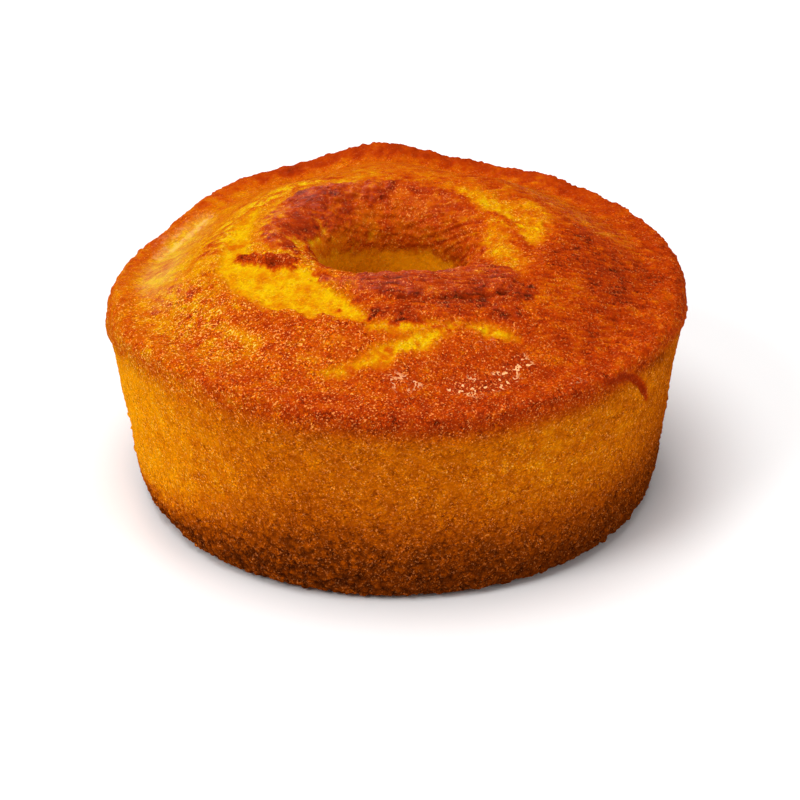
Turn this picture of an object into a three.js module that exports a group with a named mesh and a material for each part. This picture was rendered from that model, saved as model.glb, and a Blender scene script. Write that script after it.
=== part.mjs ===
// A carrot ring cake, whole and uncut: baked in a round tube tin and turned out to stand
// crust side up. It is one piece of sponge, so it is one closed solid.
//
// Millimetres, +Z up. The flat underside lies on z = 0 and the ring's box is centred on the
// origin. Bearings are degrees round the hole: 0 is +X, the right-hand side, 90 is the back
// and 270 is the front.
//
// The cake is worked out as slices. A slice is the outline that a knife would show on one
// bearing, from the underside up the wall, over the browned lip and the risen dome, and down
// the hole. Neighbouring slices are joined into one skin.

import * as THREE from 'three';

// ---- Driving sizes -------------------------------------------------------------------------

const FOOT_RADIUS = 92.7;
const FOOT_ROUNDING = 4.8;
const FOOT_ROUNDING_HEIGHT = 13;

const WALL_TOP_RADIUS = 99.4;
const CRUST_EDGE_HEIGHT = 71.5;
const CRUST_EDGE_ROUNDING = 5;
const RIM_RADIUS = 100;

const LIP_RADIUS = 95.5;
const LIP_HEIGHT = 76.5;
const GROOVE_RADIUS = 87.5;

const CREST_HEIGHT = 92;
const CREST_RADIUS = 41;
const DOME_SLOPE_AT_GROOVE = 0.42;

const THROAT_RADIUS = 25;
const THROAT_HEIGHT = 77;
const HOLE_FOOT_RADIUS = 28.5;
const HOLE_FOOT_ROUNDING = 2;

const SLICE_COUNT = 72;

// How full a corner is: the share of the way to its point at which a Bezier's handles stand.
const ROUND = 0.55;
const BLUNT = 0.3;

// ---- What changes on the way round ---------------------------------------------------------

// 1 on the middle bearing, fading to nothing a few spreads to either side of it.
function swell(bearing, middle, spread) {
  const away = THREE.MathUtils.euclideanModulo(bearing - middle + 180, 360) - 180;
  return Math.exp(-((away / spread) ** 2));
}

// A slow wave round the ring, so that no two slices are quite alike.
function wave(bearing, crests, start) {
  return Math.sin(THREE.MathUtils.degToRad(crests * (bearing - start)));
}

// The lip stands high at the back and has slumped at the left of the back.
function lipHeight(bearing) {
  return LIP_HEIGHT + 4.8 * swell(bearing, 93, 13) - 8.5 * swell(bearing, 155, 23)
    + 1.2 * swell(bearing, 128, 8) - 1.2 * swell(bearing, 113, 7) - 2.2 * swell(bearing, 66, 9)
    - 2 * swell(bearing, 36, 13) + 2.5 * swell(bearing, 238, 24)
    + 0.3 * wave(bearing, 9, 12) + 0.3 * wave(bearing, 14, 3);
}

// The browned crust ends on the wall here. On the left and right it has run down the wall.
function crustEdgeHeight(bearing) {
  return CRUST_EDGE_HEIGHT + 2 * swell(bearing, 240, 22) - 18 * swell(bearing, 177, 19)
    - 8 * swell(bearing, 359, 15) - 6 * swell(bearing, 145, 22) + 0.5 * wave(bearing, 8, 20);
}

// The rim stands proud of the wall where the crust has run over it, and is dented at one spot.
function rimRadius(bearing) {
  return RIM_RADIUS + 0.9 * swell(bearing, 182, 28) + 1.5 * swell(bearing, 12, 22)
    - 1.8 * swell(bearing, 149, 13) + 0.2 * wave(bearing, 6, 17);
}

// The groove inside the lip is a real trough at the back and almost nothing at the front.
function grooveDepth(bearing) {
  return 0.4 + 2.6 * swell(bearing, 92, 32) + 0.5 * swell(bearing, 175, 30);
}

// The dome's highest ring keeps close to the hole at the front and stands back elsewhere.
function crestRadius(bearing) {
  return CREST_RADIUS - 9 * swell(bearing, 272, 50) + 0.8 * wave(bearing, 3, 40);
}

function crestHeight(bearing) {
  return CREST_HEIGHT + 0.5 * wave(bearing, 2, 10) + 0.3 * wave(bearing, 5, 33);
}

// At the front the crust leans into the hole, so the way down starts higher and further in.
function throatHeight(bearing) {
  return THROAT_HEIGHT + 5 * swell(bearing, 272, 55);
}

function throatRadius(bearing) {
  return THROAT_RADIUS + 0.5 * wave(bearing, 2, 0) + 0.3 * wave(bearing, 3, 50);
}

// The wall flares from the foot to the rim, and the whole of it leans a little to the left.
function wallRadius(bearing, height) {
  const share = (height - FOOT_ROUNDING_HEIGHT) / (CRUST_EDGE_HEIGHT - FOOT_ROUNDING_HEIGHT);
  const flare = THREE.MathUtils.lerp(FOOT_RADIUS, WALL_TOP_RADIUS, share);
  return flare + 0.35 * wave(bearing, 1, 90) + 0.25 * wave(bearing, 5, 8)
    + 0.2 * wave(bearing, 7, 31);
}

// ---- What stands up from the dome or sinks into it -----------------------------------------

// A ridge or trough that follows a ring: its height, the ring and half its width, and the
// stretch of bearings that it covers.
const DOME_FEATURES = [
  // The rolled flap of dark crust in front of the hole, and the second roll below it.
  { height: 2.4, ring: 37, width: 5.5, middle: 281, spread: 30 },
  { height: -1.6, ring: 45.5, width: 3.5, middle: 288, spread: 27 },
  { height: 1.3, ring: 52, width: 4.5, middle: 284, spread: 30 },
  // The lump of dark crust behind the hole, and the thin flap that runs on from it.
  { height: 1.8, ring: 38, width: 6, middle: 128, spread: 26 },
  { height: 1.2, ring: 43, width: 4, middle: 180, spread: 22 },
  // The torn stretches, where the crust has parted and the yellow crumb lies lower.
  { height: -1.8, ring: 53, width: 7, middle: 208, spread: 34 },
  { height: -1.6, ring: 50, width: 6, middle: 245, spread: 16 },
  { height: -1.5, ring: 45, width: 6, middle: 15, spread: 38 },
  { height: -1.1, ring: 66, width: 4, middle: 280, spread: 20 },
];

function domeRelief(bearing, radius) {
  let height = 0;
  for (const feature of DOME_FEATURES) {
    const across = Math.exp(-(((radius - feature.ring) / feature.width) ** 2));
    height += feature.height * across * swell(bearing, feature.middle, feature.spread);
  }
  return height;
}

// ---- One slice -----------------------------------------------------------------------------

function point(radius, height) {
  return new THREE.Vector2(radius, height);
}

// A corner that leaves its start along one axis and meets its end along the other.
function roundedCorner(start, corner, end, fullness = ROUND) {
  const leave = start.clone().lerp(corner, fullness);
  const arrive = end.clone().lerp(corner, fullness);
  return new THREE.CubicBezierCurve(start, leave, arrive, end);
}

// The outline's spans in order, each a curve in radius and height with its number of steps.
function sliceSpans(bearing) {
  const edge = crustEdgeHeight(bearing);
  const lipTop = point(LIP_RADIUS, lipHeight(bearing));
  const groove = point(GROOVE_RADIUS, lipTop.y - grooveDepth(bearing));
  const crest = point(crestRadius(bearing), crestHeight(bearing));
  const throat = point(throatRadius(bearing), throatHeight(bearing));

  const holeFoot = point(HOLE_FOOT_RADIUS, HOLE_FOOT_ROUNDING);
  const insideEdge = point(HOLE_FOOT_RADIUS + HOLE_FOOT_ROUNDING, 0);
  const outsideEdge = point(FOOT_RADIUS - FOOT_ROUNDING, 0);
  const wallFoot = point(wallRadius(bearing, FOOT_ROUNDING_HEIGHT), FOOT_ROUNDING_HEIGHT);
  const wallTopHeight = edge - CRUST_EDGE_ROUNDING / 2;
  const wallTop = point(wallRadius(bearing, wallTopHeight), wallTopHeight);
  const rim = point(rimRadius(bearing), edge + CRUST_EDGE_ROUNDING / 2);

  const domeRun = groove.x - crest.x;
  const domeFoot = point(groove.x - domeRun / 3, groove.y + (domeRun / 3) * DOME_SLOPE_AT_GROOVE);
  const domeShoulder = point(crest.x + domeRun / 2.2, crest.y);

  return [
    [new THREE.LineCurve(insideEdge, outsideEdge), 2],
    [roundedCorner(outsideEdge, point(wallFoot.x, 0), wallFoot, BLUNT), 3],
    [new THREE.LineCurve(wallFoot, wallTop), 6],
    [new THREE.LineCurve(wallTop, rim), 2],
    [roundedCorner(rim, point(rim.x, lipTop.y), lipTop), 4],
    [roundedCorner(lipTop, point(groove.x, lipTop.y), groove), 2],
    [new THREE.CubicBezierCurve(groove, domeFoot, domeShoulder, crest), 14],
    [roundedCorner(crest, point(throat.x, crest.y), throat), 5],
    [new THREE.LineCurve(throat, holeFoot), 5],
    [new THREE.LineCurve(holeFoot, insideEdge), 1],
  ];
}

// The slice as a closed loop of points. The last point of a span is the first of the next.
function slicePoints(bearing) {
  const points = [];
  for (const [curve, steps] of sliceSpans(bearing)) {
    points.push(...curve.getPoints(steps).slice(0, steps));
  }
  for (const spot of points) {
    const onTop = THREE.MathUtils.smoothstep(spot.y, THROAT_HEIGHT, THROAT_HEIGHT + 5);
    spot.y += onTop * domeRelief(bearing, spot.x);
  }
  return points;
}

// ---- The skin ------------------------------------------------------------------------------

function cakeGeometry() {
  const positions = [];
  let rowCount = 0;
  for (let slice = 0; slice < SLICE_COUNT; slice += 1) {
    const bearing = (360 * slice) / SLICE_COUNT;
    const turn = THREE.MathUtils.degToRad(bearing);
    const points = slicePoints(bearing);
    rowCount = points.length;
    for (const spot of points) {
      positions.push(spot.x * Math.cos(turn), spot.x * Math.sin(turn), spot.y);
    }
  }

  const triangles = [];
  for (let slice = 0; slice < SLICE_COUNT; slice += 1) {
    const here = slice * rowCount;
    const beyond = ((slice + 1) % SLICE_COUNT) * rowCount;
    for (let row = 0; row < rowCount; row += 1) {
      const next = (row + 1) % rowCount;
      triangles.push(here + row, beyond + row, beyond + next);
      triangles.push(here + row, beyond + next, here + next);
    }
  }

  const geometry = new THREE.BufferGeometry();
  geometry.setAttribute('position', new THREE.Float32BufferAttribute(positions, 3));
  geometry.setIndex(triangles);
  geometry.computeVertexNormals();

  geometry.computeBoundingBox();
  const middle = geometry.boundingBox.getCenter(new THREE.Vector3());
  geometry.translate(-middle.x, -middle.y, 0);
  return geometry;
}

// ---- The finish and the model --------------------------------------------------------------

const bakedSponge = new THREE.MeshStandardMaterial({ color: 0xc8700f, roughness: 0.6, metalness: 0 });

const cake = new THREE.Mesh(cakeGeometry(), bakedSponge);
cake.name = 'cake';

const model = new THREE.Group();
model.add(cake);

export default model;
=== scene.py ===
# %% [markdown]
# # A carrot ring cake
# This lesson gives a imported CAD cake its looks. The CAD solid already has the cake's real size
# and its large form, so the work here is what an oven does to batter: a browned crust, the places
# where the rising middle tore that crust open, and the fine grain of the sponge. The solid is
# loaded first.

import math
from functools import partial

import bpy
import bmesh
import numpy as np
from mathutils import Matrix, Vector, noise


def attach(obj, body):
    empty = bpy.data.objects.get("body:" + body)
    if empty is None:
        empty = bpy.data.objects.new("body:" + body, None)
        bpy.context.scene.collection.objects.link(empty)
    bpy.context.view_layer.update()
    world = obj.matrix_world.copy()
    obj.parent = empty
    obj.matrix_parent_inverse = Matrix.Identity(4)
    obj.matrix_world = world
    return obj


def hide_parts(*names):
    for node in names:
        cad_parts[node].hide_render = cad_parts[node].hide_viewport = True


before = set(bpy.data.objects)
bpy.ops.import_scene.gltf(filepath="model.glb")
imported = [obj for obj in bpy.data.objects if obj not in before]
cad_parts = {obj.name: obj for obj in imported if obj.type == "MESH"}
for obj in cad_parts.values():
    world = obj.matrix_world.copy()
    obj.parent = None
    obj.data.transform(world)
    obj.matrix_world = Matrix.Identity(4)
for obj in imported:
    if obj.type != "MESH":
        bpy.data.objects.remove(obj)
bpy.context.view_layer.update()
MM = 0.001

# %% [markdown]
# ## A skin fine enough to bake
# Crumb is a matter of half millimetres, and the CAD mesh has facets of nearly a centimetre. One
# could subdivide it until it is fine, but its long thin faces would stay long and thin. So the
# facets are rounded by a subdivision surface, and a voxel remesh then lays one even net of small
# squares over everything. A few rounds of smoothing take away the faint steps of the voxels.

# %% Copy the cake and lay an even net over it
VOXEL = 0.55 * MM
SEAM = 0.001 * MM

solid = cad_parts["cake"].data.copy()
solid.materials.clear()
sewing = bmesh.new()
sewing.from_mesh(solid)
bmesh.ops.remove_doubles(sewing, verts=sewing.verts, dist=SEAM)
bmesh.ops.join_triangles(
    sewing, faces=sewing.faces, angle_face_threshold=0.8, angle_shape_threshold=3.1
)
sewing.to_mesh(solid)
sewing.free()

rough_cake = bpy.data.objects.new("rough_cake", solid)
bpy.context.scene.collection.objects.link(rough_cake)
rounding = rough_cake.modifiers.new("round the facets", "SUBSURF")
rounding.levels = 2
net = rough_cake.modifiers.new("even net", "REMESH")
net.mode = "VOXEL"
net.voxel_size = VOXEL
relax = rough_cake.modifiers.new("relax", "SMOOTH")
relax.factor = 0.5
relax.iterations = 8

depsgraph = bpy.context.evaluated_depsgraph_get()
skin = bpy.data.meshes.new_from_object(rough_cake.evaluated_get(depsgraph))
skin.name = "carrot_cake"
bpy.data.objects.remove(rough_cake)
print("net:", len(skin.vertices), "points and", len(skin.polygons), "faces")

# %% [markdown]
# ## Reading the surface
# Every effect below needs to know where a point lies on the cake, and a round cake is best read
# in bearings and radii: 0 degrees is the right-hand side, 90 the back, 180 the left and 270 the
# front. Numpy holds all points at once, in millimetres, which keeps both the code and the waiting
# short.

# %% Points, bearings and radii
def read_vectors(items, name):
    values = np.empty(len(items) * 3, dtype=np.float32)
    items.foreach_get(name, values)
    return values.reshape(-1, 3).astype(float)


points = read_vectors(skin.vertices, "co") / MM
normals = read_vectors(skin.vertex_normals, "vector")
radius = np.hypot(points[:, 0], points[:, 1])
bearing = np.degrees(np.arctan2(points[:, 1], points[:, 0])) % 360
height = points[:, 2].copy()
print("radius", radius.min().round(1), "to", radius.max().round(1), "mm")


def fade(low, high, value):
    """0 below low, 1 above high, and a smooth step between them."""
    share = np.clip((value - low) / (high - low), 0, 1)
    return share * share * (3 - 2 * share)


def ring_values(stations):
    """Reads a value that changes round the ring from a few (bearing, value) stations."""
    around = sorted(stations)
    return np.interp(bearing, [s[0] for s in around], [s[1] for s in around], period=360)


def away_from(middle):
    """Degrees between each point's bearing and this one."""
    return np.abs((bearing - middle + 180) % 360 - 180)


# %% [markdown]
# ## Noise, the baker's helper
# Nothing on a cake is even. Blender's noise functions give a smooth random value anywhere in
# space: stretched to 10 mm it makes slow lumps, and squeezed to 1 mm it makes grain. A seed
# moves the sampling point far away, so that each use has its own pattern, the same on each run.

# %% Noise at the cake's points
def grain(size, seed, at=None, octaves=1):
    """Noise between about -1 and 1, with features of this size in millimetres."""
    spots = (points if at is None else at) / size + seed * 31.7
    if octaves == 1:
        return np.array([noise.noise(spot) for spot in spots.tolist()])
    return np.array([noise.fractal(spot, 0.9, 2.0, octaves) for spot in spots.tolist()])


slow = grain(14, 1)  # the lie of a whole region
patchy = grain(5, 2, octaves=3)  # blotches
fine = grain(1.9, 3, octaves=2)  # single grains
print("patchy noise from", patchy.min().round(2), "to", patchy.max().round(2))

# %% [markdown]
# ## Where the crust ends
# The dark skin covers the top and turns down over the rim. Its lower edge wanders: it is highest
# at the front and has run down the wall on the left. Above that edge a point is crust, below it
# plain crumb. The hole's wall touched the tin's tube, so it is crumb too. The stations are pairs of
# bearing and height, and the noise that is added keeps the edge from being a drawn line.

# %% Crust, wall and hole
CRUST_EDGE = [
    (0, 63), (12, 70), (40, 71), (90, 71), (130, 66), (160, 58), (177, 54), (190, 61),
    (205, 70), (232, 74), (260, 73), (285, 71), (315, 71), (330, 73), (345, 70), (355, 65),
]
HOLE_EDGE = [(0, 73), (30, 73), (60, 75), (95, 76), (130, 76), (155, 80), (180, 83), (205, 81),
             (240, 77), (300, 77), (335, 73)]
EDGE_FADE = [(0, 6), (180, 9), (200, 12), (235, 12), (255, 9), (300, 9), (320, 7)]
DOME_MIDDLE_RADIUS = 65

edge_fade = ring_values(EDGE_FADE)
crust_edge = ring_values(CRUST_EDGE) + 1.2 * slow + 1.8 * patchy
outer = fade(DOME_MIDDLE_RADIUS - 5, DOME_MIDDLE_RADIUS + 5, radius)
crust = np.where(
    radius > DOME_MIDDLE_RADIUS,
    fade(0, 1, (height - crust_edge + edge_fade) / (edge_fade + 1.5)),
    fade(-4, 3, height - ring_values(HOLE_EDGE) + patchy),
)
print("share of points under crust:", crust.mean().round(2))

# %% [markdown]
# ## Strokes on the plan
# The torn places, the dark flaps and the veins all follow the ring, each with its own width. A
# stroke is a short path of (bearing, radius, half width) stations. Every point gets its depth
# inside the stroke, in millimetres, and noise added to that depth frays the stroke's edge.

# %% Depth inside a stroke
WALL_RADIUS = 97


def on_plan(at_bearing, at_radius):
    turn = math.radians(at_bearing)
    return at_radius * math.cos(turn), at_radius * math.sin(turn)


def depth_in_path(spots, path):
    """How deep each spot lies inside a path of (x, y, half width) stations, in millimetres."""
    depth = np.full(len(spots), -1e3)
    for (x0, y0, w0), (x1, y1, w1) in zip(path, path[1:]):
        start, run = np.array([x0, y0]), np.array([x1 - x0, y1 - y0])
        reach = spots - start
        share = np.clip(reach @ run / (run @ run), 0, 1)
        gap = np.hypot(*(reach - share[:, None] * run).T)
        depth = np.maximum(depth, w0 + share * (w1 - w0) - gap)
    return depth


def frayed(depth, fray):
    return depth + fray * (1.8 * patchy + 1.2 * fine + 0.8 * slow)


def stroke(stations, soft=1.0, fray=1.0):
    """Mask of a stroke on the top: stations are (bearing, radius, half width)."""
    path = [(*on_plan(at, out), width) for at, out, width in stations]
    return crust * fade(-soft, soft, frayed(depth_in_path(points[:, :2], path), fray))


def wall_stroke(stations, soft=1.0, fray=1.0):
    """Mask of a stroke on the unrolled wall: stations are (bearing, height, half width)."""
    spots = np.column_stack([np.radians(bearing) * WALL_RADIUS, height])
    path = [(math.radians(at) * WALL_RADIUS, up, width) for at, up, width in stations]
    return outer * fade(-soft, soft, frayed(depth_in_path(spots, path), fray))


# %% [markdown]
# ## How brown is it?
# Most of the cake's colour can be told with one number: 0 is pale crumb and 1 is nearly burnt. The
# oven was hotter on the right, so that side is browner, and the rim caught more heat than the
# dome. Later steps also add painted shade and painted light to this number, and a last step turns it
# into colour. Three more numbers go with it: grit says how grainy the surface is, glaze how greasy,
# and sparkle how many grains get painted flashes of highlight.

# %% How brown the plain crust is
TOP_BROWNING = [(0, 0.70), (20, 0.60), (45, 0.50), (70, 0.48), (95, 0.42), (125, 0.36),
                (150, 0.26), (180, 0.22), (200, 0.27), (225, 0.42), (250, 0.54), (275, 0.60),
                (300, 0.64), (320, 0.61), (340, 0.67)]
RIM_BROWNING = [(0, 0.70), (60, 0.64), (95, 0.69), (120, 0.62), (140, 0.46), (165, 0.46),
                (190, 0.36), (220, 0.42), (250, 0.62), (275, 0.71), (300, 0.66), (330, 0.60)]
TOP_GRIT = [(0, 0.7), (45, 0.5), (90, 0.45), (135, 0.45), (180, 0.5), (215, 0.9), (250, 1.0),
            (285, 0.9), (320, 0.7)]
TOP_SPARKLE = [(0, 0.5), (45, 0.5), (90, 0.5), (135, 0.6), (180, 0.8), (215, 1.3), (250, 1.0),
               (285, 0.8), (320, 0.6)]
RIM_STARTS_AT = 90.5

at_back = 1 - fade(35, 60, away_from(85))
rim_blur = 3.6 - 1.4 * at_back
on_rim = fade(-rim_blur, rim_blur, radius - RIM_STARTS_AT + 1.8 * patchy)
top_tone = ring_values(TOP_BROWNING)
top_tone += (ring_values(RIM_BROWNING) - top_tone) * on_rim
top_tone += 0.05 * patchy * on_rim * at_back
calm = 1 - 0.4 * at_back * fade(55, 75, radius)
mottle = (0.07 * slow + 0.18 * patchy + 0.09 * fine) * calm
print("rim share", on_rim.mean().round(2))

# %% [markdown]
# The wall baked against the tin and is golden, palest on the left. Towards the foot it darkens,
# partly as real browning from the tin's hot floor and partly as painted shade near the table. How far
# up that darkening reaches changes round the ring.

# %% How brown the wall and the hole are
WALL_BROWNING = [(0, 0.48), (90, 0.36), (180, 0.09), (208, 0.14), (232, 0.37), (250, 0.47),
                 (280, 0.45), (300, 0.35), (325, 0.40), (345, 0.50)]
FOOT_DARKENING_TOP = [(0, 52), (90, 44), (150, 30), (195, 20), (215, 27), (232, 37), (250, 54),
                     (270, 48), (330, 48)]
FOOT_TONE = 0.845
HOLE_TONE = 0.06

foot_top = ring_values(FOOT_DARKENING_TOP)
foot = 1 - fade(0.1, 1, (height + 4 * slow + 3 * patchy) / foot_top)
wall_tone = ring_values(WALL_BROWNING) + 0.04 * fade(54, 74, height) + 0.6 * mottle
# painted shade at the foot, mixed with real browning
wall_tone += (FOOT_TONE - wall_tone) * foot ** 1.2
tone = wall_tone + (top_tone + mottle - wall_tone) * crust
in_hole = (1 - crust) * (1 - outer)
hole_tone = HOLE_TONE + 0.4 * mottle + 0.5 * (1 - fade(0, 25, height))
tone += (hole_tone - tone) * in_hole
print("plain tone from", tone.min().round(2), "to", tone.max().round(2))

# %% How grainy, greasy and sparkling it is
grit = 0.78 - 0.13 * fade(15, 60, height)
grit += (0.3 - grit) * in_hole
grit += (ring_values(TOP_GRIT) - grit) * crust
glaze = 0.01 * crust
sparkle = 0.7 - 0.3 * foot
sparkle += (ring_values(TOP_SPARKLE) - sparkle) * crust
grit -= 0.3 * on_rim * at_back * crust
lift = np.zeros(len(points))
print("mean grit", grit.mean().round(2))

# %% [markdown]
# ## Zones of the crust
# The middle of a ring cake rises last, and it splits the crust that has already set. Where the
# crust parts, yellow crumb shows: a wide tear on the left that runs round to the front, another on
# the right, and thin veins in front. Round the hole the batter set first and baked longest, so
# what is left of the crust there is nearly mahogany. Behind the hole it is one lumpy collar with a
# thin tongue down its left side, and in front it has been pushed into two rolls.
#
# Each zone is painted over the ones before it, as a glaze is brushed on. Its numbers say how far
# the browning, the grit, the glaze and the sparkle move, and how high the zone stands. A soft zone
# fades out over a few millimetres, a frayed one has a ragged edge, and a mottled one is blotchy.

# %% The brush
def zone(*paths, tone_to, blend=0.9, grit_to=None, glaze_to=None, sparkle_to=None, rise=0.0,
         soft=1.0, fray=1.0, mottled=0.0, drawn=stroke):
    """Paints one zone and returns its mask."""
    global tone, grit, glaze, sparkle, lift
    mask = np.max([drawn(path, soft, fray) for path in paths], axis=0)
    tone = tone + (tone_to + mottled * mottle - tone) * mask * blend
    if grit_to is not None:
        grit = grit + (grit_to - grit) * mask
    if glaze_to is not None:
        glaze = glaze + (glaze_to - glaze) * mask
    if sparkle_to is not None:
        sparkle = sparkle + (sparkle_to - sparkle) * mask
    lift = lift + rise * mask
    return mask


# %% [markdown]
# First come the broad changes: the golden left side with its greasy sheen at the slumped edge,
# painted pale as a sheen on top of a real coat, the paler band behind the hole, the browner patch on
# the right, and the gritty stretch at the left of the front, where many grains get painted flashes of
# highlight.

# %% Broad zones of the dome
# the golden left side, and its palest islands
zone([(116, 54, 5), (138, 61, 8), (158, 61, 8), (176, 62, 6)],
     tone_to=0.18, blend=0.8, grit_to=0.6, soft=4, fray=2.5, mottled=3.5)
zone([(150, 56, 2), (160, 56, 3.5), (170, 54, 3)], [(140, 66, 2), (150, 68, 2.5)],
     tone_to=0.10, blend=0.8, soft=2.0, fray=5, mottled=2.0)
# the paler band behind the dark collar
zone([(112, 47, 5), (92, 47, 4), (70, 48, 5)], tone_to=0.36, blend=0.7, soft=3, fray=2, mottled=2)
# two golden patches at the right of the front
zone([(322, 62, 5), (334, 66, 6)], [(304, 80, 3), (310, 81, 3)], tone_to=0.42, blend=0.65, soft=4,
     fray=2, mottled=1.5)
# the greasy sheen by the slumped edge, brightest near the back: its pale tone is partly the golden
# crust and partly a painted sheen; the coat is real shine
zone([(146, 84, 5), (165, 83, 7), (182, 82, 7), (196, 80, 4)],
     tone_to=0.14, blend=0.8, grit_to=0.4, glaze_to=0.24, soft=4, fray=2, mottled=1.5)
zone([(142, 87, 4), (150, 88, 5), (160, 86, 4)], tone_to=0.06, blend=0.8, glaze_to=0.34, soft=3,
     fray=1.5, mottled=1)
# a browner patch below the left tear
zone([(236, 70, 7), (222, 72, 5)], tone_to=0.62, blend=0.6, soft=4, fray=2, mottled=1)
# the right side, where the oven was hottest
zone([(352, 66, 6), (346, 76, 9)], [(14, 66, 4), (6, 76, 7)], tone_to=0.76, blend=0.7,
     glaze_to=0.04, soft=4, fray=2, mottled=1)
# a lighter stretch behind it
zone([(11, 80, 5), (20, 74, 8), (34, 70, 8), (50, 74, 7)], tone_to=0.43, blend=0.75,
     grit_to=0.6, glaze_to=0.07, soft=7, fray=3, mottled=1.5)
# the gritty stretch, where many grains get painted flashes of highlight
zone([(198, 76, 5), (212, 80, 7), (226, 80, 6), (240, 76, 3)], tone_to=0.28, blend=0.6,
     grit_to=1.1, sparkle_to=3.0, soft=4, fray=3, mottled=3)

# %% [markdown]
# Where the crust tore, the crumb under it is bright yellow, smoother and a little lower. The tear on
# the left is wide and clean. The one on the right is half baked over, so it is painted as a soft
# orange base with yellow islands and a few brown flecks.

# %% The torn crumb
torn = zone(
    [(150, 58, 1.5), (166, 55, 3.5), (182, 55, 4.0), (197, 57, 6.5), (212, 54, 9.5),
     (226, 52, 11), (240, 51, 8.5), (252, 52, 5.5), (258, 56, 2.5)],
    [(214, 44, 4), (230, 40, 4.5), (238, 40, 2.5)],
    tone_to=0.05, grit_to=0.35, glaze_to=0, sparkle_to=0.3, rise=-1.3, soft=1.8, fray=1.4,
    mottled=0.9,
)
# a soft orange ground, with the veins on it
zone([(258, 76, 5), (268, 69, 8), (280, 63, 8), (293, 63, 5), (302, 69, 4)], tone_to=0.42,
     blend=0.45, soft=4, fray=2.5, mottled=1.5)
vein = zone(
    [(250, 82, 1.0), (256, 80, 2.6), (261, 76, 1.8), (266, 71.5, 4.6), (271, 67, 3.0),
     (277, 64.5, 4.6), (284, 61.5, 2.4), (290, 59.5, 1.8)],
    [(262, 60, 2.0), (272, 59, 3.0), (283, 59, 2.0)],
    [(293, 61.5, 1.2), (297, 64.5, 3.2), (301, 68, 3.2), (304, 71, 1.0)],
    tone_to=0.10, grit_to=0.35, glaze_to=0, sparkle_to=0.6, rise=-0.9, soft=2.0, fray=1.6,
    mottled=2.2,
)
# crumb that shows in short cracks near the left of the front
zone([(224, 76.5, 1.8), (233, 77, 1.5)], [(246, 77.5, 1.0), (250, 77, 1.2)],
     tone_to=0.16, blend=0.8, grit_to=0.5, soft=2, fray=1.6, mottled=2)
torn_right = zone(
    [(64, 42, 3.0), (52, 42, 5.5), (40, 43, 8), (26, 43, 10), (12, 41, 11),
     (0, 38, 11), (348, 38, 10), (338, 42, 8), (330, 47, 4)],
    tone_to=0.31, blend=0.85, grit_to=0.6, glaze_to=0.0, sparkle_to=1.0, rise=-0.8, soft=4,
    fray=2.6, mottled=2.6,
)
# the yellow islands on the right
zone([(62, 42, 2.5), (50, 42, 4.5), (38, 42, 5.5), (26, 40, 4.5), (18, 36, 3.0)],
     [(12, 33, 3.0), (2, 33, 5), (352, 34.5, 5), (342, 39, 3.5)],
     [(32, 53, 3.5), (22, 53, 5), (11, 50, 5), (1, 48, 4)],
     tone_to=0.15, blend=0.8, grit_to=0.5, sparkle_to=0.6, soft=3, fray=2, mottled=1.6)
torn = np.maximum.reduce([torn, vein, torn_right])
# brown flecks that were left behind, on the right and on the left
zone([(22, 41, 2.0), (17, 42, 1.8)], [(4, 43, 1.2), (356, 42, 1.8), (350, 44, 1.0)],
     tone_to=0.56, blend=0.75, rise=0.6, soft=1.5, fray=1.0, mottled=1)
zone([(176, 62, 2.0), (181, 57, 1.4)], tone_to=0.42, blend=0.6, rise=0.4, soft=1.5, fray=1.2,
     mottled=1)

# %% [markdown]
# The ring of crust nearest the hole is the oldest and darkest. Its back half is the brow, its left
# part the lumpy collar, and a finger of it points into the left tear.

# %% The dark inner crust
brow = zone(
    [(322, 30, 3), (340, 27, 3.5), (0, 26, 3.0), (20, 27, 3.5), (38, 28, 4.5), (60, 31, 7),
     (75, 32, 8), (92, 32, 8.5), (112, 33, 9), (130, 33, 7)],
    tone_to=0.55, grit_to=0.45, glaze_to=0.04, sparkle_to=1.1, rise=0.6, soft=2.5, fray=1.5,
    mottled=0.9,
)
# the brow's darker outer edge, and its lighter inner slope
zone([(30, 36, 2), (50, 36, 2.5), (66, 38, 2.5), (85, 39, 2.5), (104, 39, 3)], tone_to=0.66,
     blend=0.7, soft=3, fray=1.5, mottled=1)
zone([(40, 25, 2), (70, 26, 3), (100, 27, 3.5), (135, 27, 4)], tone_to=0.40, blend=0.6, soft=3,
     fray=2, mottled=1)
collar = zone(
    [(102, 38, 4), (116, 38.5, 6.5), (128, 39, 9), (145, 38.5, 10), (160, 38.5, 9),
     (174, 38.5, 7.5), (186, 39, 5.5), (194, 40, 2)],
    tone_to=0.60, blend=0.95, grit_to=0.4, glaze_to=0.16, sparkle_to=0.8, rise=0.7, soft=3,
    fray=1.6, mottled=1.5,
)
# the collar's dark core
zone([(132, 38, 3), (146, 38, 6), (162, 38, 6), (178, 37, 4), (188, 38, 2)],
     tone_to=0.80, blend=0.65, soft=3, fray=2, mottled=1.2)
# the lighter slope into the hole, and the brown strip along its edge
zone([(140, 24, 3), (160, 24, 3.5), (182, 26, 4), (200, 28, 4.5), (214, 29, 3)],
     tone_to=0.34, blend=0.95, grit_to=0.3, soft=2.5, fray=1, mottled=0.4)
zone([(190, 32, 2), (200, 31, 3.5), (212, 31.5, 3.5), (222, 35, 2.5), (232, 39, 1.5)],
     tone_to=0.64, blend=0.9, grit_to=0.6, rise=0.4, soft=1.5, fray=1.8, mottled=1.6)
finger = zone(
    [(193, 53.5, 2.2), (198, 49, 3.6), (204, 45, 3.2), (211, 41, 1.8)],
    tone_to=0.76, blend=0.95, grit_to=0.8, rise=0.9, soft=1.4, fray=1.2, mottled=1.5,
)
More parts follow.
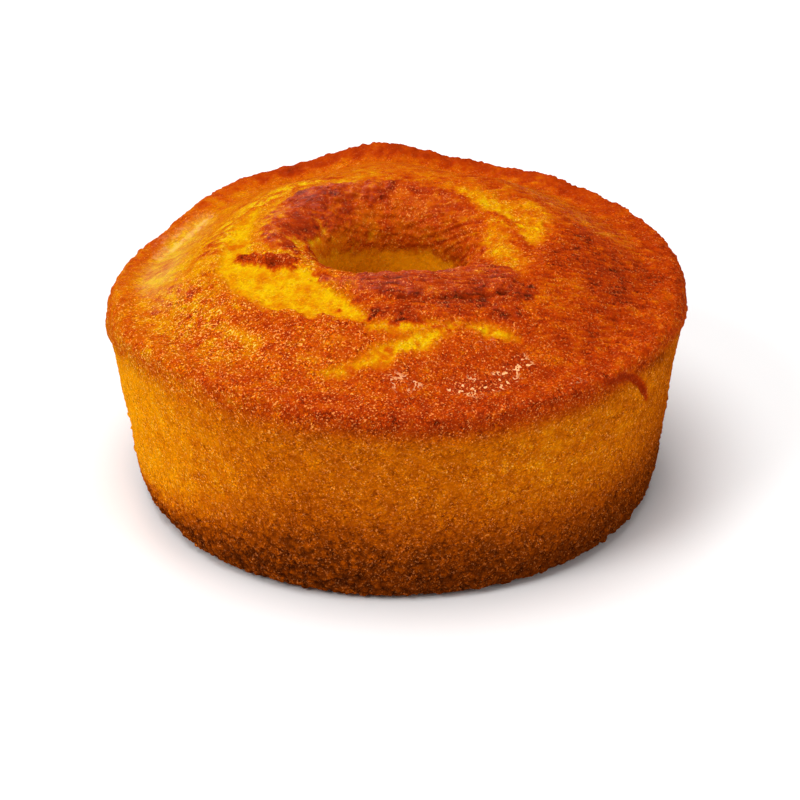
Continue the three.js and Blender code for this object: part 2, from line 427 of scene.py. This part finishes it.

# %% [markdown]
# In front of the hole the crust was pushed together into two rolls, with a crease between them. The
# crease is narrow and sinks, and it is widest at the right, where the upper roll curls; its dark
# colour is painted shade under the upper roll.

# %% The two rolls and the crease
upper_roll = zone(
    [(232, 40, 1.2), (242, 40, 2.4), (252, 39, 4.5), (266, 37.5, 6.5), (285, 37.5, 8),
     (300, 40, 8.5), (314, 43, 8), (324, 46, 4)],
    tone_to=0.66, grit_to=0.6, glaze_to=0.20, sparkle_to=1.0, rise=1.1, soft=1.6, fray=1.1,
    mottled=1.2,
)
# the upper roll's edge over the hole, and its wrinkled face
zone([(262, 30, 3), (280, 30, 4), (298, 31, 3)], tone_to=0.60, blend=0.8, soft=3, fray=1.5,
     mottled=1.5)
zone([(248, 38, 2), (262, 37, 4), (280, 37.5, 4.8), (296, 40.5, 4.8), (308, 44.5, 4.5),
      (318, 45, 3.5), (326, 44.5, 1.5)],
     tone_to=0.72, blend=0.85, grit_to=0.5, sparkle_to=0.9, glaze_to=0.15, soft=2, fray=1,
     mottled=0.8)
lower_roll = zone(
    [(252, 48, 2.0), (262, 50, 4.0), (276, 52, 5.5), (292, 53.5, 6), (306, 56, 6),
     (318, 55, 4)],
    tone_to=0.70, grit_to=0.65, glaze_to=0.02, sparkle_to=0.8, rise=0.7, soft=2.2, fray=1.8,
    mottled=1.2,
)
# the lower roll's dark right-hand part
zone([(286, 51, 2), (298, 53, 4), (308, 55, 5), (318, 54, 4)], tone_to=0.78, blend=0.7,
     glaze_to=0.08, soft=3, fray=1.8, mottled=0.8)
# the crease's dark tone is painted shade in the fold under the upper roll
crease = zone(
    [(272, 45.5, 0.1), (281, 46.3, 0.5), (290, 47.2, 1.1), (300, 49.0, 1.7), (308, 52.0, 1.7),
     (314, 53.5, 0.5)],
    tone_to=0.88, blend=0.95, grit_to=0.4, glaze_to=0, sparkle_to=0.4, rise=-1.8, soft=1.4, fray=0.6,
)

# %% Grease spots on the front, where glints are painted later
greasy = zone([(283, 85, 2), (290, 86, 4), (296, 84, 3.5), (302, 81, 2.5)], tone_to=0.74,
              blend=0.8, glaze_to=0.04, sparkle_to=1.2, soft=2, fray=1)
greasy_spots = zone([(270, 82, 2.5), (274, 82, 2.5)], [(294, 70, 1.5), (296, 70, 1.5)],
                    [(308, 94, 1.5), (310, 94, 1.5)], tone_to=0.66, blend=0.3, soft=2, fray=1)
DARKEST_TONE = 0.88
tone = np.minimum(tone, DARKEST_TONE)

# %% [markdown]
# At the right of the front the crust's edge has split, and a thin dark line runs down the wall. The
# stroke for it lies on the unrolled wall, so its stations are bearings and heights.

# %% The edge of the crust on the wall
torn_lip = zone(
    [(315.5, 72.5, 0.9), (319, 72, 1.2), (322.5, 69, 1.4), (326, 64, 1.6), (328.5, 59, 1.5),
     (330.5, 54, 0.8)],
    tone_to=0.84, blend=0.9, grit_to=0.3, rise=-0.35, soft=1.0, fray=0.3, drawn=wall_stroke,
)
crust = np.maximum(crust, np.minimum(1, 1.6 * torn_lip))
# browner crust beside the split, and scorched wall before it
zone([(325, 72, 2), (330, 69, 2.5), (335, 67, 2)], tone_to=0.80, blend=0.6, soft=2, fray=0.8,
     drawn=wall_stroke)
zone([(296, 70, 2), (306, 69, 3), (314, 68, 3)], tone_to=0.60, blend=0.5, soft=3, fray=1.2,
     drawn=wall_stroke)
print("torn share", torn.mean().round(3))
print("tone from", tone.min().round(2), "to", tone.max().round(2))

# %% [markdown]
# ## Relief
# Light finds every bump, so what the eye reads as crust is made as real shape. Each effect below
# is a height in millimetres that moves a point along its normal. Wrinkles are noise drawn out in
# one direction. Grains come from a Voronoi pattern: it scatters seeds through space, and a point's
# distance from the nearest seed is small on top of a grain and large in the gap between two. For
# loose crumbs only a few seeds, picked by a random number of their own, are allowed to stand out.

# %% Wrinkles, grains and loose crumbs
GRAIN_REACH = 0.75
CRUMB_REACH = 0.6


def squeezed(along, across, seed, octaves=2):
    """Noise drawn out from left to right, which makes wrinkles that run that way."""
    spots = np.column_stack([
        points[:, 0] / along, (points[:, 1] + height) / across, np.full(len(points), seed * 9.3)
    ])
    return grain(1.0, seed, at=spots, octaves=octaves)


def grains(size, seed):
    """Height of round grains, from 0 in the gaps between them to 1 on their tops."""
    spots = points / size + seed * 31.7
    nearest = np.array([noise.voronoi(spot)[0][0] for spot in spots.tolist()])
    return 1 - np.clip(nearest / GRAIN_REACH, 0, 1) ** 2


def loose_crumbs(size, share, seed):
    """A few round crumbs that stand out: this share of the grains, the others stay flat."""
    spots = points / size + seed * 31.7
    found = [noise.voronoi(spot) for spot in spots.tolist()]
    nearest = np.array([distances[0] for distances, seeds in found])
    owner = np.array([seeds[0] for distances, seeds in found])
    chance = np.modf(np.abs(np.sin(owner @ np.array([12.99, 78.23, 37.72]))) * 4375.85)[0]
    return np.where(chance < share, 1 - np.clip(nearest / CRUMB_REACH, 0, 1) ** 2, 0)


lumps = grain(7, 12, octaves=2)
blisters = grain(2.6, 13, octaves=3)
wrinkles = squeezed(8, 2.2, 11, octaves=3)
fine_wrinkles = squeezed(7, 1.3, 15, octaves=3)
ripples = squeezed(6, 1.7, 16, octaves=2)
crumb = grains(1.5, 14)
big_crumb = grains(2.6, 21)
crumbs = loose_crumbs(2.6, 0.10, 20)
print("share of points on a loose crumb:", (crumbs > 0).mean().round(3))

# %% [markdown]
# The crust is blistered everywhere and grainy where the grit says so. On top of that the collar and
# the brow are wrinkled, the rolls carry fine wrinkles from left to right, and the right side has
# ripples. The same noise also moves the browning: a wrinkle's top is painted lighter as highlight and
# its valley darker as shade.

# %% Relief of the crust
lift += crust * (0.25 * lumps + (0.08 + 0.15 * grit) * blisters)
lift += crust * 0.22 * grit * (1 - 0.5 * on_rim) * (crumb - 0.5)
lift += collar * (0.7 * wrinkles + 0.6 * lumps) + brow * (0.4 * wrinkles + 0.35 * blisters)
rolled = np.maximum(upper_roll, 0.8 * lower_roll)
lift += rolled * (0.3 * wrinkles + 0.6 * fine_wrinkles)
lift += finger * 0.4 * blisters
lift += torn * 0.35 * blisters
on_right = crust * (1 - fade(45, 70, away_from(10))) * (1 - on_rim) * (1 - torn_right)
lift += on_right * 0.6 * ripples
# painted highlight on wrinkle tops and painted shade in their valleys
tone -= 0.30 * rolled * fine_wrinkles + 0.20 * on_right * ripples + 0.10 * collar * wrinkles

# %% [markdown]
# The rim is lumpy. Behind the hole it stands against the light and its outline shows, so there the
# larger bumps and dents are listed one by one, as pairs of bearing and millimetres.

# %% Relief of the rim
RIM_BUMPS = [(20, -1.2), (30, -1.6), (40, -1.0), (50, 0.2), (58, -0.4), (62, -1.4), (66, -1.3),
             (68, 1.2), (69.5, 1.6), (71, 0), (74, -0.8), (77, 1.3), (81, 1.0), (85, -0.5),
             (91, 0.9), (95, 0.6), (102, -0.5), (108, 0.6), (114, 0.2), (121, -0.7), (126, 0.4),
             (134, 1.3), (142, 0.8), (150, 0)]
uneven = fade(-0.3, 0.5, slow)
rim_bumps = grain(8, 19, octaves=3)
on_lip_top = fade(76, 83, height + 6 * (1 - at_back))
lift += crust * on_rim * (0.4 * uneven * lumps + (0.3 + 0.25 * at_back) * blisters)
lift += crust * on_rim * ((0.2 + 0.15 * at_back) * rim_bumps + on_lip_top * ring_values(RIM_BUMPS))
lift += 0.6 * crumbs * on_rim * crust

# %% [markdown]
# The wall is an open sponge of small grains, which grow into clumps at the foot, and a few crumbs
# cling to it. Right under the crust it swells a little, and at the left foot it is worn back.

# %% Relief of the wall
wall = outer * (1 - crust)
under_rim = wall * fade(45, 68, height) * (1 - fade(68, 76, height))
lift += 0.9 * under_rim
lift -= 1.2 * wall * (1 - fade(12, 30, away_from(195))) * (1 - fade(24, 44, height))
lift += 0.75 * crumbs * wall * (0.35 + 0.65 * (1 - fade(20, 60, height)))
lift += (1 - crust) * (0.18 * lumps + 0.12 * blisters + 0.5 * grit * (crumb - 0.6))
lift += 0.7 * wall * foot * (big_crumb - 0.5)
lift += (1 - crust) * 0.2 * foot * (lumps + blisters)

# %% [markdown]
# The gaps between grains are painted browner and darker than their tops, as shade, and at the foot
# the clumps are painted lighter on top and darker between them. That painted shade is also kept as a
# number of its own, because it darkens any colour, with the crease's shade added; another number
# marks the grease spots, where glints are painted.

# %% Painted shade between the grains
gaps = np.clip(0.6 - crumb, 0, 1) * grit * 1.8
tone = tone + 0.05 * gaps * (1 - crust) - 0.08 * crumbs * (1 - crust)
left_front = 1 - fade(30, 60, away_from(228))
# at the foot, clump tops painted lighter and the hollows between them darker, as shade
tone -= (0.14 + 0.14 * left_front) * (big_crumb - 0.40) * foot * (1 - crust)
# painted shade in the gaps, stronger at the foot, and in the crease
painted_gap_shade = gaps * (0.10 - 0.04 * crust) * (1 + 2.0 * foot) + 0.10 * crease
grease_glint = np.maximum(greasy, 0.7 * greasy_spots)
print("tone from", tone.min().round(2), "to", tone.max().round(2))

# %% [markdown]
# Last, the skin is pushed out. The lift fades out at the table, so that the underside stays flat, and
# no point may sink below it. The numbers that the material reads are stored on the points.

# %% Push the skin out and keep the numbers
lift *= fade(0.6, 2.0, height)
points += normals * lift[:, None]
points[:, 2] = np.maximum(points[:, 2], 0)
skin.vertices.foreach_set("co", (points * MM).astype(np.float32).ravel())
skin.update()
skin.shade_smooth()
print("lift from", lift.min().round(2), "to", lift.max().round(2), "mm")

# by now the browning number also holds painted shade and painted light: at the foot, between grains,
# in the crease and on wrinkles
KEPT = {"browning_and_painted_shade": tone, "crust": crust, "grit": grit, "glaze": glaze, "sparkle": sparkle,
        "painted_gap_shade": painted_gap_shade, "grease_glint": grease_glint}
for name, values in KEPT.items():
    layer = skin.attributes.new(name, "FLOAT", "POINT")
    layer.data.foreach_set("value", np.clip(values, 0, 4).astype(np.float32))

# %% [markdown]
# ## A flat map of the skin
# When the looks are later baked into a picture, every face needs a place of its own on one flat
# sheet. An automatic unwrap would cut half a million faces into thousands of scraps. A cake comes
# apart much more neatly: the top and the underside are laid down as seen from above and below, the
# wall is unrolled in two strips, and the hole in one. The smooth skin from before the relief is
# used, so that no bump hides behind another.

# %% Lay the skin out flat
SHEET = 416  # the sheet's side in millimetres
TOP_FACING = 0.45
UNDER_FACING = -0.7
HOLE_MAP_RADIUS = 26
TOP_MIDDLE = (103, 103)
UNDER_MIDDLE = (305, 96)
BACK_WALL_CORNER = (3, 212)
FRONT_WALL_CORNER = (3 - math.pi * WALL_RADIUS, 302)
HOLE_CORNER = (318, 215)

corners = np.empty(len(skin.loops), dtype=np.int32)
skin.loops.foreach_get("vertex_index", corners)
quads = corners.reshape(-1, 4)
facing = normals[quads, 2].mean(axis=1)
first_bearing = bearing[quads[:, :1]]
unrolled = first_bearing + (bearing[quads] - first_bearing + 180) % 360 - 180
across = (radius * np.cos(np.radians(bearing)))[quads]
along = (radius * np.sin(np.radians(bearing)))[quads]
upright = (facing <= TOP_FACING) & (facing >= UNDER_FACING)
outside = radius[quads[:, 0]] > DOME_MIDDLE_RADIUS
back_half = first_bearing[:, 0] < 180
flat = np.empty((len(quads), 4, 2))


def lay_down(chosen, right, up, corner):
    flat[chosen, :, 0] = right[chosen] + corner[0]
    flat[chosen, :, 1] = up[chosen] + corner[1]


wall_run = np.radians(unrolled) * WALL_RADIUS
hole_run = np.radians(unrolled) * HOLE_MAP_RADIUS
lay_down(facing > TOP_FACING, across, along, TOP_MIDDLE)
lay_down(facing < UNDER_FACING, -across, along, UNDER_MIDDLE)
lay_down(upright & outside & back_half, wall_run, height[quads], BACK_WALL_CORNER)
lay_down(upright & outside & ~back_half, wall_run, height[quads], FRONT_WALL_CORNER)
lay_down(upright & ~outside, height[quads], hole_run, HOLE_CORNER)
flat_map = skin.uv_layers.new(name="OFBake")
flat_map.uv.foreach_set("vector", (flat / SHEET).astype(np.float32).ravel())
print("flat map from", (flat.min() / SHEET).round(3), "to", (flat.max() / SHEET).round(3))

# %% [markdown]
# ## Colour from browning
# One colour ramp turns the browning number into the colours of baked batter, from yellow crumb
# through orange to mahogany. Crust and crumb brown differently, so each has a ramp of its own. Ramps
# are easier to tune than a mix of many colours, because each stop is one shade that can be checked.

# %% Two colour ramps
def srgb(red, green, blue):
    """A colour as picked on a screen, 0 to 255, in the linear values that shaders use."""
    channels = [c / 255 for c in (red, green, blue)]
    linear = [c / 12.92 if c <= 0.04045 else ((c + 0.055) / 1.055) ** 2.4 for c in channels]
    return (*linear, 1.0)


CRUST_COLOURS = [
    (0.00, srgb(224, 174, 5)),
    (0.15, srgb(214, 136, 3)),
    (0.30, srgb(204, 106, 3)),
    (0.45, srgb(195, 82, 4)),
    (0.60, srgb(179, 59, 4)),
    (0.75, srgb(161, 46, 5)),
    (0.88, srgb(136, 38, 6)),
    (1.00, srgb(92, 26, 5)),
]
CRUMB_COLOURS = [
    (0.00, srgb(244, 158, 3)),
    (0.20, srgb(228, 136, 3)),
    (0.40, srgb(200, 100, 3)),
    (0.60, srgb(160, 70, 3)),
    (0.80, srgb(108, 43, 3)),
    (1.00, srgb(66, 24, 3)),
]

# %% [markdown]
# A material is a net of small nodes. Most of the nodes here only do sums, so a few helpers let the
# sums be written in lines, such as plus(a, times(b, c)).

# %% Helpers that add nodes
sponge = bpy.data.materials.new("baked_sponge")
sponge.use_nodes = True
tree = sponge.node_tree
nodes, links = tree.nodes, tree.links
shader = nodes["Principled BSDF"]


def add(kind, **settings):
    node = nodes.new(kind)
    for name, value in settings.items():
        setattr(node, name, value)
    return node


def plug(sockets, values):
    """Feeds each socket with a link, where the value is another node's output, or a number."""
    for socket, value in zip(sockets, values):
        if hasattr(value, "links"):
            links.new(value, socket)
        else:
            socket.default_value = value


def math_node(operation, first, second=0.0):
    node = add("ShaderNodeMath", operation=operation)
    plug(node.inputs, (first, second))
    return node.outputs[0]


plus = partial(math_node, "ADD")
minus = partial(math_node, "SUBTRACT")
times = partial(math_node, "MULTIPLY")
power = partial(math_node, "POWER")
larger = partial(math_node, "MAXIMUM")
smaller = partial(math_node, "MINIMUM")


def mix(amount, below, above, blend_type="MIX"):
    node = add("ShaderNodeMix", data_type="RGBA", blend_type=blend_type)
    plug((node.inputs[0], node.inputs[6], node.inputs[7]), (amount, below, above))
    return node.outputs[2]


def kept(name):
    return add("ShaderNodeAttribute", attribute_name=name).outputs["Fac"]


# %% Helpers that add patterns
place = add("ShaderNodeTexCoord").outputs["Object"]


def noise_node(size, detail=3.0):
    node = add("ShaderNodeTexNoise")
    node.inputs["Scale"].default_value = 1 / (size * MM)
    node.inputs["Detail"].default_value = detail
    links.new(place, node.inputs["Vector"])
    return node.outputs["Fac"]


def cells(size, wobble):
    """Voronoi cells of this size in millimetres, bent out of shape by some noise."""
    bend = add("ShaderNodeTexNoise")
    bend.inputs["Scale"].default_value = 1.3 / (size * MM)
    links.new(place, bend.inputs["Vector"])
    shift = add("ShaderNodeVectorMath", operation="MULTIPLY_ADD")
    links.new(bend.outputs["Color"], shift.inputs[0])
    shift.inputs[1].default_value = (wobble * size * MM,) * 3
    links.new(place, shift.inputs[2])
    node = add("ShaderNodeTexVoronoi")
    node.inputs["Scale"].default_value = 1 / (size * MM)
    links.new(shift.outputs["Vector"], node.inputs["Vector"])
    return node


def cell_value(node, channel):
    """One of the random values that every cell has."""
    split = add("ShaderNodeSeparateColor")
    links.new(node.outputs["Color"], split.inputs["Color"])
    return split.outputs[channel]


def winding_lines(size, width, sharpness):
    """Thin lines, where a noise passes through its middle value."""
    gap = math_node("ABSOLUTE", minus(noise_node(size, 1.0), 0.5))
    return larger(times(minus(width, gap), sharpness), 0.0)


def islands(size, level, sharpness):
    """Small areas, where a noise rises above a level."""
    return larger(times(minus(noise_node(size, 1.0), level), sharpness), 0.0)


# %% [markdown]
# Grains finer than the mesh are added here, in three sizes of cells and one noise. A grain that sits
# deeper is painted browner, as shade, over the grains' own random tone, so the pattern first moves
# the browning, before the ramps are read. Grittiness comes and goes in clusters of a few millimetres,
# as it does on real crumb.

# %% Grains that are too fine for the mesh
fine_cells = cells(0.55, wobble=1.6)
dust_cells = cells(0.40, wobble=1.2)
clump_cells = cells(1.3, wobble=1.5)

clusters = minus(times(noise_node(4.0), 3.0), 0.5)
grittiness = times(larger(clusters, 0.2), kept("grit"))
crumbly = minus(noise_node(0.8), 0.5)
single = minus(cell_value(fine_cells, "Red"), 0.5)
clumps = minus(0.42, clump_cells.outputs["Distance"])
dust = minus(power(cell_value(dust_cells, "Red"), 3.0), 0.25)

BROWNING_OF_NOISE = 0.6
BROWNING_OF_GRAINS = 0.15
BROWNING_OF_CLUMPS = 0.15
# random grain tone, plus painted shade at the edges of the clump cells
grain_tone_and_shade = plus(times(crumbly, BROWNING_OF_NOISE), times(single, BROWNING_OF_GRAINS))
grain_tone_and_shade = plus(grain_tone_and_shade, times(clumps, BROWNING_OF_CLUMPS))
shown_browning_and_shade = minus(kept("browning_and_painted_shade"), times(grain_tone_and_shade, grittiness))


def ramp_node(colours):
    ramp = add("ShaderNodeValToRGB")
    stops = ramp.color_ramp.elements
    while len(stops) < len(colours):
        stops.new(0.5)
    for stop, (position, colour) in zip(stops, colours):
        stop.position = position
        stop.color = colour
    links.new(shown_browning_and_shade, ramp.inputs["Fac"])
    return ramp.outputs["Color"]


baked = mix(kept("crust"), ramp_node(CRUMB_COLOURS), ramp_node(CRUST_COLOURS))

# %% [markdown]
# Crumb glitters: one grain is bright and its neighbour dark, as each turns another face to the
# light. Here that is painted into the colour as highlight and shade, over the grains' random tone.
# The same cells set how bright each grain is.

# %% Bright grains and dull grains
BRIGHTNESS_OF_NOISE = 0.3
BRIGHTNESS_OF_GRAINS = 0.15
BRIGHTNESS_OF_DUST = 0.72
BRIGHTNESS_OF_CLUMPS = 0.20
BRIGHTNESS_BASE = 0.99
# painted highlight and shade of single grains
brightness = plus(times(crumbly, BRIGHTNESS_OF_NOISE), times(single, BRIGHTNESS_OF_GRAINS))
brightness = plus(brightness, times(dust, BRIGHTNESS_OF_DUST))
brightness = plus(brightness, times(clumps, BRIGHTNESS_OF_CLUMPS))
brightness = times(brightness, grittiness)
grainy = add("ShaderNodeHueSaturation")
links.new(plus(brightness, BRIGHTNESS_BASE), grainy.inputs["Value"])
links.new(baked, grainy.inputs["Color"])

# %% [markdown]
# The few grains that face the light flash in a warm peach colour: these flashes are painted
# highlights, mixed into the colour. A high power of a cell's random value leaves only one cell in
# thirty.
# Short painted glints are made where winding lines cross islands: the lines alone would be worms and
# the islands alone would be spots. The same two patterns, larger and sharper, draw painted glints on
# the grease on the front.

# %% Painted flashes, glints and grease glints
FLASH_RARITY = 32.0
FLASH_GAIN = 1.5
GLINT_STRENGTH = 0.55
LIT_COLOURS = [
    (0.00, srgb(255, 222, 96)),
    (0.30, srgb(255, 190, 82)),
    (0.55, srgb(255, 152, 72)),
    (1.00, srgb(230, 132, 74)),
]
GAP_SHADE_COLOUR = (0.25, 0.18, 0.15, 1)
GREASE_GLINT_COLOUR = srgb(255, 184, 122)

# painted highlights, mixed into the base colour
glints = smaller(times(winding_lines(1.3, 0.07, 30.0), islands(0.9, 0.60, 22.0)), 1.0)
flash = larger(power(cell_value(dust_cells, "Green"), FLASH_RARITY), times(glints, GLINT_STRENGTH))
flash = times(times(flash, times(grittiness, kept("sparkle"))), FLASH_GAIN)
speckled = mix(smaller(flash, 1.0), grainy.outputs["Color"], ramp_node(LIT_COLOURS))
# multiplies in the painted shade of the gaps, the foot and the crease
speckled = mix(kept("painted_gap_shade"), speckled, GAP_SHADE_COLOUR, "MULTIPLY")

# painted glints on the grease, mixed into the base colour
painted_grease_glints = smaller(times(winding_lines(1.8, 0.07, 60.0), islands(2.4, 0.56, 30.0)), 1.0)
painted_grease_glints = times(painted_grease_glints, kept("grease_glint"))
links.new(mix(painted_grease_glints, speckled, GREASE_GLINT_COLOUR), shader.inputs["Base Color"])

# %% [markdown]
# ## A slightly greasy shine
# Crumb is matt, but the crust of an oil cake is greasy in places. The base shine is off, so that the
# colour stays deep, and a clear coat lies thinly where the crust is glazed. A little light passes
# under the surface, as it does in sponge, and the finest bumps break up what shine there is.

# %% Roughness, glaze and the finest bumps
shader.inputs["Specular IOR Level"].default_value = 0.0
shader.inputs["Roughness"].default_value = 0.6
shader.inputs["Coat Roughness"].default_value = 0.22
links.new(larger(times(painted_grease_glints, 0.5), kept("glaze")), shader.inputs["Coat Weight"])

shader.inputs["Subsurface Weight"].default_value = 0.10
shader.inputs["Subsurface Radius"].default_value = (1.0, 0.4, 0.1)
shader.inputs["Subsurface Scale"].default_value = 2.0 * MM

BUMP_DEPTH = 0.25 * MM
bump_height = plus(times(fine_cells.outputs["Distance"], -0.5), noise_node(1.1, 5.0))
bump_height = times(bump_height, grittiness)
bump_height = times(bump_height, plus(times(kept("crust"), 0.4), 0.6))
bump = add("ShaderNodeBump")
bump.inputs["Strength"].default_value = 1.0
bump.inputs["Distance"].default_value = BUMP_DEPTH
links.new(bump_height, bump.inputs["Height"])
links.new(bump.outputs["Normal"], shader.inputs["Normal"])
links.new(bump.outputs["Normal"], shader.inputs["Coat Normal"])

# %% Put the cake in place
cake = bpy.data.objects.new("carrot_cake", skin)
bpy.context.scene.collection.objects.link(cake)
skin.materials.append(sponge)
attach(cake, "root")
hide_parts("cake")
print("cake:", len(skin.polygons), "faces")

# %% [markdown]
# ## The table and the light
# A food photograph of this kind is made on a white table under large soft lamps. The floor is a
# single wide sheet. The key lamp stands high on the left, a weaker one fills the right, and a
# small one behind draws the bright edge of the rim and the glints on the crust.

# %% Floor
FLOOR_HALF = 4.0
floor_mesh = bpy.data.meshes.new("floor")
floor_mesh.from_pydata(
    [(-FLOOR_HALF, -FLOOR_HALF, 0), (FLOOR_HALF, -FLOOR_HALF, 0),
     (FLOOR_HALF, FLOOR_HALF, 0), (-FLOOR_HALF, FLOOR_HALF, 0)], [], [(0, 1, 2, 3)]
)
floor = bpy.data.objects.new("floor", floor_mesh)
bpy.context.scene.collection.objects.link(floor)
paper = bpy.data.materials.new("white_table")
paper.use_nodes = True
paper.node_tree.nodes["Principled BSDF"].inputs["Base Color"].default_value = srgb(250, 250, 250)
paper.node_tree.nodes["Principled BSDF"].inputs["Roughness"].default_value = 0.9
floor_mesh.materials.append(paper)

# %% Lamps and sky
AIM = Vector((0, 0, 0.05))


def soft_lamp(name, place, size, watts, colour=(1, 1, 1)):
    lamp = bpy.data.lights.new(name, "AREA")
    lamp.shape = "DISK"
    lamp.size = size
    lamp.energy = watts
    lamp.color = colour
    holder = bpy.data.objects.new(name, lamp)
    holder.location = place
    holder.rotation_euler = (AIM - Vector(place)).to_track_quat("-Z", "Y").to_euler()
    bpy.context.scene.collection.objects.link(holder)
    return holder


soft_lamp("overhead", (-0.5, -0.3, 3.8), 3.0, 115)
soft_lamp("left", (-2.8, -2.2, 3.0), 2.0, 80)
soft_lamp("right", (3.2, -2.2, 2.2), 2.0, 30)
soft_lamp("back", (-0.8, 3.2, 1.6), 1.6, 24)

world = bpy.data.worlds.new("studio")
world.use_nodes = True
world.node_tree.nodes["Background"].inputs["Color"].default_value = (1, 1, 1, 1)
world.node_tree.nodes["Background"].inputs["Strength"].default_value = 0.22
bpy.context.scene.world = world
bpy.context.scene.view_settings.view_transform = "Standard"

# %% [markdown]
# ## The camera
# The cake was seen from a little under 30 degrees above the table through a long lens, which
# keeps the near and the far rim nearly the same size. The camera looks at a point on the cake's
# axis, a third of the way up.

# %% Camera
CAMERA_DISTANCE = 1.4
CAMERA_ELEVATION = math.radians(28.9)
LOOK_AT = Vector((0.0012, 0, 0.0273))
SENSOR = 36
VIEW_WIDTH_AT_CAKE = 0.2806

lens = bpy.data.cameras.new("camera")
lens.sensor_width = SENSOR
lens.lens = SENSOR * CAMERA_DISTANCE / VIEW_WIDTH_AT_CAKE
camera = bpy.data.objects.new("camera", lens)
away = Vector((0, -math.cos(CAMERA_ELEVATION), math.sin(CAMERA_ELEVATION)))
camera.location = LOOK_AT + CAMERA_DISTANCE * away
camera.rotation_euler = (-away).to_track_quat("-Z", "Y").to_euler()
bpy.context.scene.collection.objects.link(camera)
bpy.context.scene.camera = camera
print("lens", round(lens.lens, 1), "mm")
